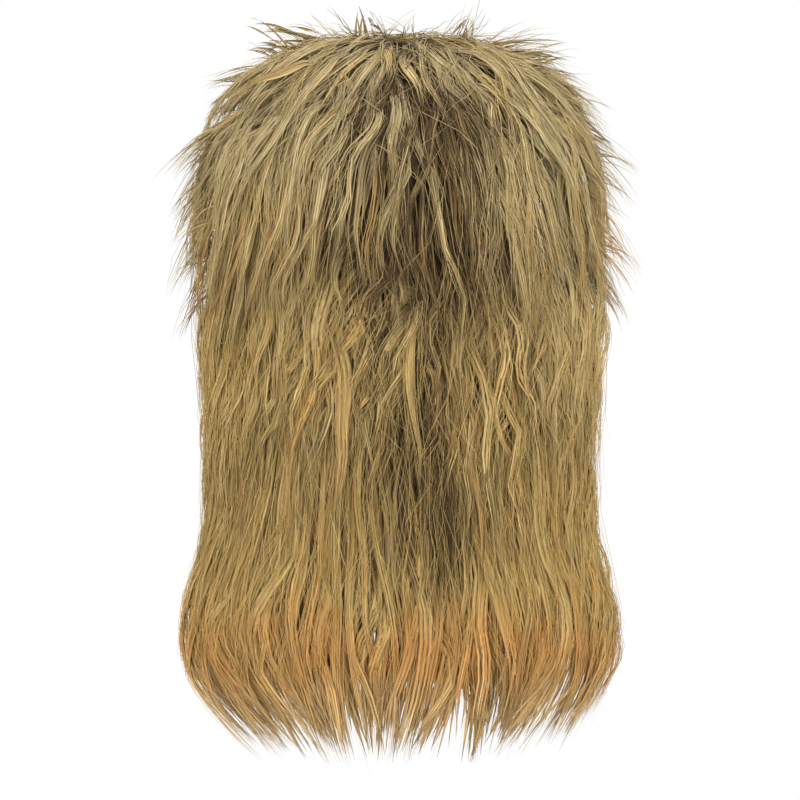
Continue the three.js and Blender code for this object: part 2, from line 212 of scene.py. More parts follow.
def hair_span(section, azimuth):
    """Where the hair starts and ends at each section and azimuth."""
    angle = np.radians(np.clip(section, 0, CROWN_SECTIONS) * 90 / CROWN_SECTIONS)
    facing = np.clip(np.cos(np.radians(azimuth)), 0, None)
    fuller = CROWN_ROUND + (FRONT_ROUND - CROWN_ROUND) * facing
    below = np.clip(section - CROWN_SECTIONS, 0, len(FALL["down"]) - 1)
    at = {name: np.interp(below, np.arange(len(EASED[name])) / EASING, EASED[name]) for name in EASED}
    bare, bulks = (0, 0, 0, 0), (SIDE_BULK, FRONT_BULK, BACK_BULK, TOP_BULK)
    spans = []
    for round_, (more_side, more_front, more_back, more_top) in ((HEAD_ROUND, bare), (fuller, bulks)):
        out = power(np.sin(angle), 2 / round_)
        up = power(np.cos(angle), 2 / round_) * (HEAD_TOP + more_top)
        side, front, back = HEAD_SIDE + more_side, HEAD_REACH + more_front, HEAD_REACH + more_back
        dome = plan_point(azimuth, side * out, front * out, back * out, 0, WIDEST + up)
        wide = HEAD_SIDE * at["inner_side"] + more_side * at["side"]
        deep = HEAD_REACH * at["inner_back"] + more_back * at["back"]
        level = WIDEST + (LONG_TIPS - WIDEST) * at["down"]
        fall = plan_point(azimuth, wide, front, deep, HEAD_REACH * at["shift"], level)
        spans.append(np.where((section <= CROWN_SECTIONS)[..., None], dome, fall))
    return spans


def unit(vectors):
    return vectors / np.maximum(np.linalg.norm(vectors, axis=-1, keepdims=True), 1e-9)


def ease(value, low, high):
    x = np.clip((value - low) / (high - low), 0, 1)
    return x * x * (3 - 2 * x)


def lengths(lines):
    """How far along its hair each point lies."""
    return np.cumsum(np.linalg.norm(np.diff(lines, axis=1, prepend=lines[:, :1]), axis=-1), axis=1)


def straightened(lines, away, t, start, share):
    """Lets each hair run on straight from start, as stiff hair does where the head curves away under it."""
    rows = np.arange(len(lines))
    at = np.maximum(np.argmin(np.abs(t - start), axis=1), 1)
    ahead = unit(lines[rows, at] - lines[rows, at - 1])
    outwards = np.sum(ahead * away[rows, at], -1, keepdims=True)
    ahead = unit(ahead - away[rows, at] * np.maximum(outwards - STEEPEST, 0))[:, None]
    run = lengths(lines)
    run = run - run[rows, at][:, None]
    straight = lines[rows, at][:, None] + ahead * run[..., None]
    return lines + (straight - lines) * (share * ease(t, start, start + 0.4))[..., None]


def held_back(lines, outer, away):
    """Eases in what stands further off the hair's outline than a flicked-out tip does."""
    most = MOST_BEHIND + (MOST_BESIDE - MOST_BEHIND) * np.abs(away[..., 0])
    proud = np.sum((lines - outer) * away, -1)
    excess = np.where(proud > 0, proud - most * np.tanh(proud / most), 0)
    return lines - away * excess[..., None]


PATCH_MIDDLE, PATCH_HALF = -14 * MM, 44 * MM  # the brown patch down the middle of the back, as it shows
SHADED_GAP_MIDDLE, SHADED_GAP_HALF = -24 * MM, 13 * MM  # painted shade in the narrow dark gap between the locks below it, over deep brown hair that shows there
DEEP = 0.28  # how deep hair lies where its painted shade is darkest, as a share of the hair's bulk


def browned_and_shaded(layer, lines, t, outside, mood):
    """How brown the hair is: at its roots and where deep locks show in the middle of the back, with painted
    shade on deeper hair and in the narrow gap between locks.
    """
    x, y, z = np.moveaxis(lines, -1, 0)
    fade = layer["root_end"] * (0.6 + 0.8 * mood)
    roots = layer["roots"] * (1 - ease(t, fade * 0.3, fade))
    behind = ease(y, -20 * MM, 40 * MM)
    near_middle = np.exp(-(((x - PATCH_MIDDLE) / PATCH_HALF) ** 2)) * behind
    patch = near_middle * ease(-z, 0, 50 * MM) * (1.2 - 0.82 * ease(-z, 100 * MM, 200 * MM))
    above_ends = 1 - ease(-z, 310 * MM, 365 * MM)
    gap_shade = np.exp(-(((x - SHADED_GAP_MIDDLE) / SHADED_GAP_HALF) ** 2)) * behind
    gap_shade = gap_shade * ease(-z, 170 * MM, 250 * MM)
    # Deeper hair is painted browner as painted shade, more so in the patch and the gap.
    deep = np.clip((1 - outside) / DEEP, 0, 1)
    shown = (patch + 0.7 * gap_shade) * (0.5 + 1.0 * deep) * (0.15 + 1.6 * mood)
    return np.clip(roots * (0.15 + 0.85 * near_middle) + (shown + 0.35 * deep) * above_ends, 0, 1)


def beside_head(azimuth):
    """1 at the sides of the head, easing to 0 towards its front and back."""
    return ease(np.abs(np.sin(np.radians(azimuth))), 0.75, 1.0)


ROUND = 6.28  # radians in a turn
SWAY = 0.6  # of a layer's drift, which a lock sways to either side
SWAY_TURNS = (3, 9)  # radians of sway along a lock
STRAY_TURNS = (2, 6)  # radians of a stray hair's own bends
STRAIGHT_FROM = (0.35, 0.7)  # where along them stiff locks start to run straight
CRIMP_SIZES = (0.3, 1.6)  # from the faintest crimp to the strongest, as shares of the layer's
BAND_PLACES, BAND_WIDTHS = 0.85, 2.6  # where a lock's bands lie and how wide they are together, in girths
EDGE = 90 * MM  # how far from the middle line the long hair sweeps inwards most


def comb(layer, locks, bands, hairs, points, seed, loose=0.0, buried=0.0):
    """The locks of a layer. Each is a few flat bands of hair side by side, with single hairs over them.

    Each hair has as many points as points says. loose is how far the hairs have come away, in metres, and
    buried the share of its bulk by which they all lie deeper.
    """
    rng = np.random.default_rng(seed)
    each = bands + hairs
    count = locks * each
    number = np.tile(np.arange(each), locks)[:, None]
    broad = number < bands
    place = (2 * number + 1) / max(bands, 1) - 1

    def each_lock(values):
        return np.repeat(values, each)[:, None]

    def each_hair(spread):
        return rng.normal(0, spread, (count, 1)) * np.where(broad, 0.1, 1)

    def turn():
        return rng.random((count, 1)) * 2 * np.pi

    # Where each lock springs from and ends, and how deep it lies. A comb's locks gather to shared ends.
    low, high = layer["azimuths"]
    places = (rng.permutation(locks) + rng.random(locks)) / locks
    azimuth = each_lock(low + (high - low) * places)
    shared = np.random.default_rng(layer["ends_seed"])  # the same for every comb of the layer
    ends = round((high - low) / layer["end_apart"])
    middles = low + (np.arange(ends) + shared.uniform(0.2, 0.8, ends)) * (high - low) / ends
    nearest = np.argmin(np.abs(azimuth - middles), axis=1)
    shorter = 0.6 * shared.random(ends)[nearest][::each] + 0.4 * rng.random(locks) ** 1.3
    end_curl = shared.normal(0, layer["end_curl"], ends)[nearest][:, None]
    root = each_lock(layer["root"] + layer["root_spread"] * np.sqrt(rng.random(locks)))
    tip = each_lock(layer["tip"] - layer["tip_spread"] * shorter)
    beside = 1 - layer["beside"] * beside_head(azimuth)
    outside = (1 - each_lock(layer["depth"] * rng.random(locks) ** 1.3) * beside) * (1 - buried)
    cut = 1 - layer["thinning"] * rng.random((count, 1)) ** 1.5
    t = np.linspace(0, 1, points)[None, :] * cut

    # The lock's path over the head.
    section = root + (tip - root) * t
    sweep = layer["fan"] * np.degrees(np.sin(np.radians(azimuth))) * (1 - t)
    drift = each_lock(rng.normal(0, layer["drift"], locks)) + each_hair(layer["drift"] * 0.35)
    calm = np.minimum(1, (tip - root) / 3)  # a short lock has no room to sway or wave as far
    sway = each_lock(rng.uniform(-SWAY, SWAY, locks) * layer["drift"]) * calm
    swing = t * each_lock(rng.uniform(*SWAY_TURNS, locks)) + each_lock(rng.uniform(0, ROUND, locks))
    turned = azimuth + sweep + drift * t**1.3 + sway * np.sin(swing)
    gather = layer["gather"] * ease(t, layer["gather_from"], 1.1)
    turned = turned + (middles[nearest][:, None] - turned) * gather
    turned = np.clip(turned, low - layer["overlap"], high + layer["overlap"])
    turned = np.where(section < 0, turned + 180, turned)  # such a hair starts beyond the crown
    section = np.abs(section)
    inner, outer = hair_span(section, turned)
    cover = np.interp(section, layer["root"] + np.arange(len(layer["cover"])), layer["cover"])
    cover = cover + (1 - cover) * layer["beside"] * beside_head(turned)
    rise = layer["lift"] + (1 - layer["lift"]) * ease(t, 0, 0.3)
    lines = inner + (outer - inner) * (cover * outside * rise)[..., None]
    tousle = np.repeat(rng.normal(0, layer["tousle"], (locks, 3)) * [1, 1, 0.25], each, axis=0)
    lines = lines + tousle[:, None] * (1 - ease(t, 0, 0.7))[..., None]
    stiff = layer["stiff"] * each_lock(rng.random(locks))
    away = unit(outer - inner)
    lines = straightened(lines, away, t, each_lock(rng.uniform(*STRAIGHT_FROM, locks)), stiff)
    along = unit(np.gradient(lines, axis=1))
    across = unit(np.cross(along, away))
    away = unit(np.cross(across, along))
    length = lengths(lines)

    # Each band's and hair's place in its lock, then the crimp, the strays and the flicked-out end.
    around, ring = turn(), np.sqrt(rng.random((count, 1)))
    girth = each_lock(rng.uniform(*layer["lock_width"], locks))
    swell = girth * (0.6 + 0.4 * ease(t, 0, 0.35)) * (1 - layer["point"] * ease(t, 0.35, 1.05))
    sideways = swell * np.where(broad, BAND_PLACES * place, ring * np.cos(around))
    outwards = swell * np.where(broad, -0.15 * place**2, 0.05 + 0.4 * ring * np.abs(np.sin(around)))
    wave = 2 * np.pi * length / each_lock(rng.uniform(*layer["wave"], locks))
    wave = wave + each_lock(rng.uniform(0, ROUND, locks)) + each_hair(0.45)
    size = each_lock(rng.uniform(*CRIMP_SIZES, locks)) * layer["crimp"] * ease(t, 0.05, 0.4)
    size = size * (1 - 0.7 * ease(t, 0.65, 1.0)) * calm
    sideways = sideways + size * np.sin(wave)
    outwards = outwards + 0.6 * size * np.sin(wave + 1.9)
    stray = each_hair(1) * (layer["stray"] + loose)
    sideways = sideways + stray * np.sin(t * rng.uniform(*STRAY_TURNS, (count, 1)) + turn())
    outwards = outwards + 0.4 * stray * np.sin(t * rng.uniform(*STRAY_TURNS, (count, 1)) + turn())
    flick = each_lock(rng.normal(*layer["flick"], locks)) + loose * rng.random((count, 1)) * 2
    curl = each_lock(rng.normal(0, layer["curl"], locks)) + each_hair(layer["curl"] * 0.3)
    outwards = outwards + flick * ease(t, 0.5, 1.2)
    sideways = sideways + curl * ease(t, 0.45, 1.2) + end_curl * ease(t, 0.65, 1.2)
    lines = lines + across * sideways[..., None] + away * outwards[..., None]
    lines = held_back(lines, outer, unit(outer - inner))
    left, right = layer["inwards"]
    swept = np.interp(lines[..., 0], [-EDGE, 0, EDGE], [right, 0, -left]) * ease(t, 0.74, 1.1)
    lines[..., 0] = lines[..., 0] + swept

    # How thick each is along its length: it swells from its root and tapers at its tip.
    body = np.minimum(1, np.where(broad, 0.1 + 1.9 * t, 0.45 + 2.5 * t))
    body = body * np.sqrt(np.clip(1 - (t / cut) ** np.where(broad, 6, 3), 0, 1))
    single = layer["hair"] * rng.uniform(0.7, 1.3, (count, 1))
    return {
        "lines": lines, "away": away, "along": t, "broad": broad,
        "widths": np.where(broad, BAND_WIDTHS * swell / max(bands, 1), single) * body,
        "tint": each_lock(rng.random(locks)) * 0.5 + rng.random((count, 1)) * 0.5 + 0 * t,
        "hue": each_lock(rng.random(locks)) * 0.8 + rng.random((count, 1)) * 0.2 + 0 * t,
        "brown": browned_and_shaded(layer, lines, t, outside, each_lock(rng.random(locks))),
        "twist": np.where(broad, -0.25 * place, rng.uniform(-0.6, 0.6, (count, 1))),
    }


def plait(name, combed):
    """One mesh of closed, three-sided, tapering hairs round the centre lines of each part of combed."""
    meshes = [hair_arrays(part) for part in combed]
    starts = np.cumsum([0] + [len(m["points"]) for m in meshes])
    quads = np.concatenate([m["quads"] + s for m, s in zip(meshes, starts)])
    ends = np.concatenate([m["ends"] + s for m, s in zip(meshes, starts)])
    corners = np.concatenate([quads.ravel(), ends.ravel()])
    first = np.concatenate([np.arange(len(quads)) * 4, quads.size + np.arange(len(ends)) * 3])
    mesh = bpy.data.meshes.new(name)
    mesh.vertices.add(starts[-1])
    points = np.concatenate([m["points"] for m in meshes])
    mesh.vertices.foreach_set("co", points.astype(np.float32).ravel())
    mesh.loops.add(len(corners))
    mesh.loops.foreach_set("vertex_index", corners.astype(np.int32))
    mesh.polygons.add(len(first))
    mesh.polygons.foreach_set("loop_start", first.astype(np.int32))
    mesh.update(calc_edges=True)
    mesh.shade_smooth()
    creased = np.concatenate([*[m["creased"] for m in meshes], np.zeros(len(ends), bool)])
    mesh.attributes.new("sharp_face", "BOOLEAN", "FACE").data.foreach_set("value", creased)
    for key in ("along", "tint", "hue", "brown"):
        attribute = mesh.attributes.new(key, "FLOAT", "POINT")
        attribute.data.foreach_set("value", np.concatenate([m[key] for m in meshes]).astype(np.float32))
    lay = np.concatenate([m["lay"] for m in meshes])[corners]
    mesh.uv_layers.new(name="lay").data.foreach_set("uv", lay.astype(np.float32).ravel())
    piece = bpy.data.objects.new(name, mesh)
    bpy.context.scene.collection.objects.link(piece)
    return piece


BAND_THICKNESS = 0.14  # of its width
CORNERS = ((-0.5, -0.2), (0.5, -0.2), (0, 0.4))  # of a hair's three-sided section, in widths


def hair_arrays(part):
    """The points, faces and values of a comb's hairs, with a ring of three at each point but the tip."""
    lines = part["lines"]
    count, points = lines.shape[:2]
    along = unit(np.gradient(lines, axis=1))
    flat = unit(np.cross(along, part["away"]))
    thick = np.cross(flat, along)
    cos, sin = np.cos(part["twist"])[..., None], np.sin(part["twist"])[..., None]
    flat, thick = flat * cos + thick * sin, thick * cos - flat * sin
    width = part["widths"][..., None]
    thick = thick * np.where(part["broad"], BAND_THICKNESS, 1)[..., None]
    sides = [lines + width * (flat * a + thick * b) for a, b in CORNERS]
    rings = np.stack(sides, 2)[:, :-1].reshape(count, -1, 3)
    places = np.concatenate([rings, lines[:, -1:]], 1)
    each = places.shape[1]
    start = (np.arange(count) * each)[:, None, None]
    ring = np.arange(points - 2)[:, None] * 3
    near = np.arange(3)[None, :]
    after = (near + 1) % 3
    quad = np.stack([ring + near, ring + after, ring + 3 + after, ring + 3 + near], -1).reshape(-1, 4)
    last = (points - 2) * 3
    cone = np.stack([last + near[0], last + after[0], np.full(3, each - 1)], -1)
    end = np.concatenate([cone, [[2, 1, 0]]])
    grown = {
        "points": places.reshape(-1, 3),
        "quads": (quad[None] + start).reshape(-1, 4),
        "creased": (part["broad"] & np.tile([True, False, False], points - 2)[None]).ravel(),
        "ends": (end[None] + start).reshape(-1, 3),
    }
    for key in ("along", "tint", "hue", "brown"):
        rung = np.broadcast_to(part[key], (count, points))
        spread = np.repeat(rung[:, :-1], 3, axis=1)
        grown[key] = np.concatenate([spread, rung[:, -1:]], 1).ravel()
    length = lengths(lines)
    wide = np.repeat(part["widths"].max(1, keepdims=True), points * 3 - 3, axis=1) / MM
    u = np.arange(count)[:, None] * 7.7 + wide * np.tile([0, 1, 0.5], points - 1)[None, :]
    u = np.concatenate([u, u[:, 2:3]], 1)
    v = np.concatenate([np.repeat(length[:, :-1], 3, axis=1), length[:, -1:]], 1)
    grown["lay"] = np.stack([u, v], -1).reshape(-1, 2)
    return grown


# Straw hair from darker to paler; the darker end, where tint and streaks are low, is partly painted shade
# between hairs.
STRAW = [
    (0.0, dye(152, 118, 54)),
    (0.3, dye(180, 147, 76)),
    (0.55, dye(194, 163, 97)),
    (0.8, dye(201, 172, 108)),
    (1.0, dye(209, 183, 125)),
]
TONES = {  # each colour of hair in its darker streaks and in its lighter ones; the darker are partly painted shade between the hairs of a band
    "ash": (dye(164, 147, 104), dye(202, 185, 143)),
    "gold": (dye(188, 132, 64), dye(213, 160, 90)),
    "warm": (dye(210, 147, 74), dye(200, 150, 85)),
    "tips": (dye(214, 177, 112), dye(226, 196, 140)),
    # brown is the colour of the roots, and also the painted shade of deep hair
    "brown": (dye(60, 40, 13), dye(122, 96, 50)),
}


def hair_finish(name, pale):
    """Mixed blond hair with brown roots, fine streaks, ash above, and warm ends with pale tips, with
    painted shade on deep hair and between the hairs of a band.
    """
    finish = Finish(name, sheen=0.05)
    finish.shader.inputs["Specular IOR Level"].default_value = 0.25

    def reading(key):
        node = finish.add("ShaderNodeAttribute", {"attribute_name": key})
        return Value(finish, node.outputs["Fac"])

    def noise(vector, scale, detail):
        sockets = {"Vector": vector, "Scale": scale, "Detail": detail}
        return Value(finish, finish.add("ShaderNodeTexNoise", {}, sockets).outputs["Fac"])

    def towards(share, colour, tone):
        return finish.mix(share, colour, finish.mix(streak, *TONES[tone]))

    lay = finish.add("ShaderNodeUVMap", {"uv_map": "lay"}).outputs["UV"]
    fine = finish.add("ShaderNodeMapping", {}, {"Vector": lay, "Scale": (0.8, 12.0, 1.0)})
    # Fine streaks across each band stand for its hairs: their own tones, and painted shade in the fine gaps
    # between them.
    streak = noise(fine.outputs["Vector"], 1.0, 4.0).between(0.38, 0.62)
    place = finish.add("ShaderNodeTexCoord").outputs["Object"]
    axes = finish.add("ShaderNodeSeparateXYZ", {}, {0: place})
    across, height = Value(finish, axes.outputs["X"]), Value(finish, axes.outputs["Z"])
    patch = noise(place, 14.0, 2.0)
    along, tint, hue, brown = reading("along"), reading("tint"), reading("hue"), reading("brown")

    fair = across.between(-30 * MM, -100 * MM) * height.between(-320 * MM, -120 * MM)
    mixed = tint * 0.42 + streak * 0.6 + fair * 0.28 + patch * 0.4 + pale - 0.12
    colour = finish.add("ShaderNodeValToRGB", {"stops": STRAW}, {"Fac": mixed}).outputs["Color"]
    ash = (height.between(-200 * MM, -20 * MM) * 0.85 + 0.15) * (hue.between(0.85, 0.35) * 0.7 + 0.3)
    colour = towards(ash * 0.8, colour, "ash")
    gold = along.between(0.2, 0.8) * hue.between(0.6, 0.85) * height.between(-20 * MM, -120 * MM)
    colour = towards(gold * 0.5, colour, "gold")
    warm = (height + (patch - 0.5) * 0.16 + tint * 0.03).between(-325 * MM, -385 * MM)
    colour = towards(warm * (hue * 0.65 + 0.38), colour, "warm")
    tips = (height + tint * 0.03).between(-365 * MM, -410 * MM)
    colour = towards(tips * 0.75, colour, "tips")
    # Brown roots, and painted shade on deep hair and in the gap between locks, strongest in the darker
    # streaks.
    colour = towards((brown * (1.3 - streak * 0.6)).between(0.0, 1.0), colour, "brown")
    finish.join(finish.shader.inputs["Base Color"], colour)
    finish.join(finish.shader.inputs["Roughness"], 0.72 - streak * 0.14)
    finish.relief(streak, 0.5 * MM)
    return finish


def fit(piece, finish, slot, *nodes):
    """Finishes a piece of hair and puts it in the place of its CAD nodes."""
    piece.data.materials.append(finish.material)
    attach(piece, "root")
    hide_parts(*nodes)


# A layer's azimuths are degrees from the forehead round by the wearer's left, and overlap is how far its
# hair strays past them. root and tip are sections, each with a spread, and its ends are end_apart degrees
# apart. cover, lift, depth and beside are shares of the hair's bulk. gather, thinning, stiff, point and
# roots are shares too. fan and drift turn a lock, in degrees. flick is a mean and a spread.
LONG = {
    "azimuths": (97.5, 262.5), "overlap": 7, "beside": 0.95,
    "ends_seed": 1, "end_apart": 14, "end_curl": 13 * MM, "gather": 0.92, "gather_from": 0.66,
    "root": 6, "root_spread": 2.5, "tip": 16.4, "tip_spread": 1.5, "thinning": 0.14,
    "cover": [0.26, 0.34, 0.42, 0.52, 0.64, 0.76, 0.92, 1, 1, 1, 1], "lift": 0.5, "depth": 0.5,
    "fan": 0.0, "drift": 7.5, "stiff": 0.1, "tousle": 0.0,
    "lock_width": (2 * MM, 7 * MM), "point": 0.62, "hair": 0.45 * MM,
    "wave": (64 * MM, 120 * MM), "crimp": 4.6 * MM, "stray": 2.0 * MM,
    "flick": (0 * MM, 4 * MM), "curl": 6 * MM, "inwards": (34 * MM, 16 * MM),
    "roots": 0.5, "root_end": 0.3,
}
LONG_OVER = {**LONG, "root": 8, "root_spread": 2.0}
LONG_UNDER = {
    **LONG, "tip": 16.3, "tip_spread": 1.2, "point": 0.4, "thinning": 0.16, "crimp": 2 * MM, "gather": 0.55,
}
SURFACE = {"depth": 0.0, "point": 0.9, "thinning": 0.3, "wave": (54 * MM, 90 * MM), "crimp": 4.4 * MM}
LONG_SURFACE = {
    **LONG, **SURFACE, "lift": 0.15, "root": 9.6, "root_spread": 1.2, "tip": 15.2, "tip_spread": 3.0,
    "lock_width": (2.5 * MM, 6.5 * MM),
}


def core(layer, locks, points, seed, buried):
    """Narrow flat locks deep in a layer, which close it to the light."""
    narrow = {**layer, "lock_width": (1.8 * MM, 2.6 * MM), "stiff": 0.0, "thinning": 0.1}
    return comb(narrow, locks, bands=1, hairs=0, points=points, seed=seed, buried=buried)


def strays(layer, drift, count, seed, loose=2 * MM):
    """Single hairs that have come away from their locks."""
    thin = {**layer, "depth": 0.1, "drift": drift, "hair": 0.34 * MM}
    return comb(thin, count, bands=0, hairs=1, points=10, seed=seed, loose=loose)


long_finish = hair_finish("long_hair", -0.14)
long_over = comb(LONG_OVER, locks=88, bands=3, hairs=9, points=18, seed=11)
long_surface = comb(LONG_SURFACE, locks=72, bands=3, hairs=5, points=20, seed=15)
long_under = comb(LONG_UNDER, locks=60, bands=3, hairs=5, points=16, seed=12, buried=0.1)
long_deep = comb(LONG_UNDER, locks=90, bands=4, hairs=2, points=16, seed=13, buried=0.15)
long_core = core({**LONG_UNDER, "depth": 0.8}, locks=220, points=12, seed=14, buried=0.3)
long_strays = strays(LONG, drift=12.0, count=350, seed=16)
over = plait("long_back_hair", [long_over, long_surface, long_strays])
fit(over, long_finish, "long_hair", "long_back_locks")
under = plait("long_back_under_hair", [long_under, long_deep, long_core])
fit(under, long_finish, "long_hair", "long_back_locks")

# Middle back locks: the rear layer sewn on above the long one, cut to points between the shoulder blades.
# Same crimped hair, with ash streaks.

MIDDLE = {
    **LONG, "root": 4, "root_spread": 2.5, "tip": 13.6, "tip_spread": 5.4,
    "cover": [0.26, 0.42, 0.54, 0.64, 0.76, 0.88, 0.98, 1], "depth": 0.45,
    "ends_seed": 2, "end_apart": 9, "end_curl": 4 * MM, "gather": 0.5, "gather_from": 0.5,
    "fan": 0.08, "drift": 8.5, "stiff": 0.2, "lock_width": (2.2 * MM, 6.5 * MM), "point": 0.85,
    "wave": (50 * MM, 92 * MM), "flick": (1 * MM, 3 * MM), "curl": 8 * MM, "inwards": (0, 0),
    "roots": 0.8, "root_end": 0.45,
}
MIDDLE_OVER = {**MIDDLE, "root": 5, "root_spread": 2.0}
MIDDLE_SURFACE = {
    **MIDDLE, **SURFACE, "lift": 0.3, "root": 6.6, "root_spread": 1.2, "tip": 12, "tip_spread": 2.6,
    "lock_width": (2.5 * MM, 6 * MM),
}
back_finish = hair_finish("back_hair", 0.0)
middle_parts = [
    comb(MIDDLE_OVER, locks=100, bands=3, hairs=9, points=16, seed=21),
    comb(MIDDLE_SURFACE, locks=50, bands=3, hairs=6, points=20, seed=24),
    comb(MIDDLE, locks=60, bands=3, hairs=2, points=14, seed=22, buried=0.1),
    core(MIDDLE, locks=150, points=10, seed=23, buried=0.35),
    strays(MIDDLE, drift=14.0, count=250, seed=25),
]
fit(plait("middle_back_hair", middle_parts), back_finish, "back_hair", "middle_back_locks")

# Upper back locks: the rear layer under the crown, cut to points at the nape, with a few tufts that stand
# out beside the head. Its roots show brown between the crown's locks.

TUFT_REACH = 50 * MM
TUFT_BAND, TUFT_HAIR = 2.7 * MM, 0.5 * MM  # how wide its bands and hairs are where they start
TUFT_BANDS = 0.6  # the share of its hairs that are bands


def tuft(layer, azimuth, section, out, down, along, hairs, seed):
    """Hairs gathered to one point, out, down and along from where they leave their layer."""
    rng = np.random.default_rng(seed)
    sections = np.full((hairs, 1), float(section)) + rng.uniform(-0.7, 0.5, (hairs, 1))
    azimuths = np.full((hairs, 1), float(azimuth)) + rng.uniform(-4, 4, (hairs, 1))
    inner, outer = hair_span(sections, azimuths)
    cover = np.interp(sections, layer["root"] + np.arange(len(layer["cover"])), layer["cover"])[..., None]
    start = (inner + (outer - inner) * (cover - 0.2))[:, 0]
    outer = hair_span(np.array([float(section)]), np.array([float(azimuth)]))[1]
    away = unit(plan_point(np.array([float(azimuth)]), 1, 1, 1, 0, 0))
    round_ = np.stack([away[:, 1], -away[:, 0], 0 * away[:, 0]], -1)
    tip = outer + (away * out + round_ * along - [[0, 0, down]]) * TUFT_REACH
    reach = rng.uniform(0.6, 1.0, (hairs, 1))
    broad = np.arange(hairs)[:, None] < TUFT_BANDS * hairs
    tips = start + (tip - start) * reach + rng.normal(0, 2.8, (hairs, 3)) * MM
    bend = (start + tips) / 2 + [[0, 0, 0.16 * float(np.linalg.norm(tip - start[:1]))]]
    bend = bend + away * 4 * MM + rng.normal(0, 1.5, (hairs, 3)) * MM
    t = np.linspace(0, 1, 11)[None, :, None]
    lines = (1 - t) ** 2 * start[:, None] + 2 * t * (1 - t) * bend[:, None] + t**2 * tips[:, None]
    t = t[..., 0] + np.zeros((hairs, 1))
    widths = np.where(broad, TUFT_BAND * (1 - t**1.5), TUFT_HAIR * np.sqrt(1 - t**2))
    return {
        "lines": lines, "away": np.broadcast_to(away[:, None], lines.shape) + [[[0, 0, 0.3]]],
        "widths": widths * rng.uniform(0.6, 1.1, (hairs, 1)), "broad": broad,
        "along": 0.3 + 0.5 * t, "brown": 0.2 * (1 - t),
        "tint": np.full((hairs, 1), rng.random()) * 0.6 + rng.random((hairs, 1)) * 0.4 + 0 * t,
        "hue": np.full((hairs, 1), rng.random()) + 0 * t,
        "twist": rng.uniform(-0.6, 0.6, (hairs, 1)),
    }


def tufts(layer, rows, hairs, seed):
    """A tuft for each row, which gives its azimuth and section, and out, down and along in reaches."""
    return [tuft(layer, *row, hairs, seed + number) for number, row in enumerate(rows)]


UPPER = {
    **MIDDLE, "root": 1.7, "root_spread": 2.2, "tip": 9.4, "tip_spread": 4.4, "ends_seed": 3,
    "cover": [0.5, 0.74, 0.9, 0.97, 1, 1, 1], "depth": 0.42, "lift": 0.35, "beside": 0.0,
    "fan": 0.5, "drift": 8.0, "stiff": 0.5, "lock_width": (1.5 * MM, 4.5 * MM), "crimp": 2.2 * MM,
    "flick": (0 * MM, 3 * MM), "roots": 0.9, "root_end": 0.55,
}
UPPER_TUFTS = [
    (109, 4.4, 0.8, 0.84, 0.06),
    (104, 5.2, 0.4, 0.8, -0.08),
    (254, 4.6, 0.68, 0.6, -0.06),
    (257, 6.2, 0.56, 0.6, 0.08),
    (250, 6.5, 0.48, 0.68, -0.08),
    (103, 6.4, 0.32, 0.68, 0.1),
    (262, 4.2, 0.4, 0.5, 0.1),
    (266, 5.0, 0.44, 0.7, 0.0),
    (246, 5.4, 0.5, 0.7, 0.1),
    (243, 4.0, 0.3, 0.6, -0.1),
    (98, 4.6, 0.36, 0.6, -0.1),
    (113, 5.6, 0.4, 0.8, 0.1),
    (94, 5.6, 0.3, 0.7, 0.0),
    (118, 4.2, 0.3, 0.66, 0.0),
    (260, 7.0, 0.34, 0.74, 0.0),
    (99, 7.2, 0.24, 0.8, 0.0),
]
upper_parts = [
    comb(UPPER, locks=146, bands=3, hairs=9, points=13, seed=31),
    comb({**UPPER, "stiff": 0.3}, locks=60, bands=3, hairs=1, points=12, seed=32, buried=0.1),
    core({**UPPER, "fan": 0.1}, locks=160, points=8, seed=33, buried=0.35),
    strays(UPPER, drift=18.0, count=150, seed=34),
    *tufts(UPPER, UPPER_TUFTS, hairs=26, seed=300),
]
fit(plait("upper_back_hair", upper_parts), back_finish, "back_hair", "upper_back_locks")

# Side locks: the short layer over each ear, from the temple back, combed down and a little out. It is the
# palest hair.

SIDE = {
    **UPPER, "overlap": 4, "root": 2.4, "root_spread": 2.0, "tip": 8.6, "tip_spread": 2.8,
    "depth": 0.4, "fan": 0.0, "drift": 6.0, "stiff": 0.3, "roots": 0.3,
}
SIDE_TUFT = 108  # degrees from the middle of the back round to the tuft over each ear
side_finish = hair_finish("side_hair", 0.06)
for side, azimuths, lean in (("left", (48, 108), 1), ("right", (252, 312), -1)):
    layer = {**SIDE, "azimuths": azimuths}
    side_parts = [
        comb(layer, locks=50, bands=3, hairs=8, points=12, seed=41 + lean),
        comb({**layer, "stiff": 0.2}, locks=20, bands=3, hairs=0, points=11, seed=44 + lean, buried=0.1),
        core(layer, locks=60, points=8, seed=47 + lean, buried=0.4),
        tuft(layer, 180 - lean * SIDE_TUFT, 6.4, 0.24, 0.88, -0.12 * lean, hairs=18, seed=50 + lean),
    ]
    fit(plait(side + "_side_hair", side_parts), side_finish, "side_hair", side + "_side_locks")

# Fringe: the short locks over the forehead, from temple to temple, combed forwards and down.

FRINGE = {
    **UPPER, "azimuths": (302, 418), "overlap": 4, "root": 2, "root_spread": 1.4,
    "tip": 6.3, "tip_spread": 1.4, "cover": [0.44, 0.7, 0.88, 1, 1], "depth": 0.45,
    "fan": 0.0, "drift": 6.0, "stiff": 0.3, "curl": 5 * MM, "roots": 0.4,
}
fringe_parts = [
    comb(FRINGE, locks=62, bands=3, hairs=8, points=10, seed=61),
    comb({**FRINGE, "stiff": 0.1}, locks=30, bands=3, hairs=0, points=9, seed=62, buried=0.1),
    core(FRINGE, locks=70, points=7, seed=63, buried=0.4),
]
fit(plait("fringe_hair", fringe_parts), side_finish, "side_hair", "fringe")

# Crown locks: the top layer, which springs from the crown in all directions and ends in flicked-out points.
# Its roots are brown at the back, and loose hairs and tufts stand out round it.

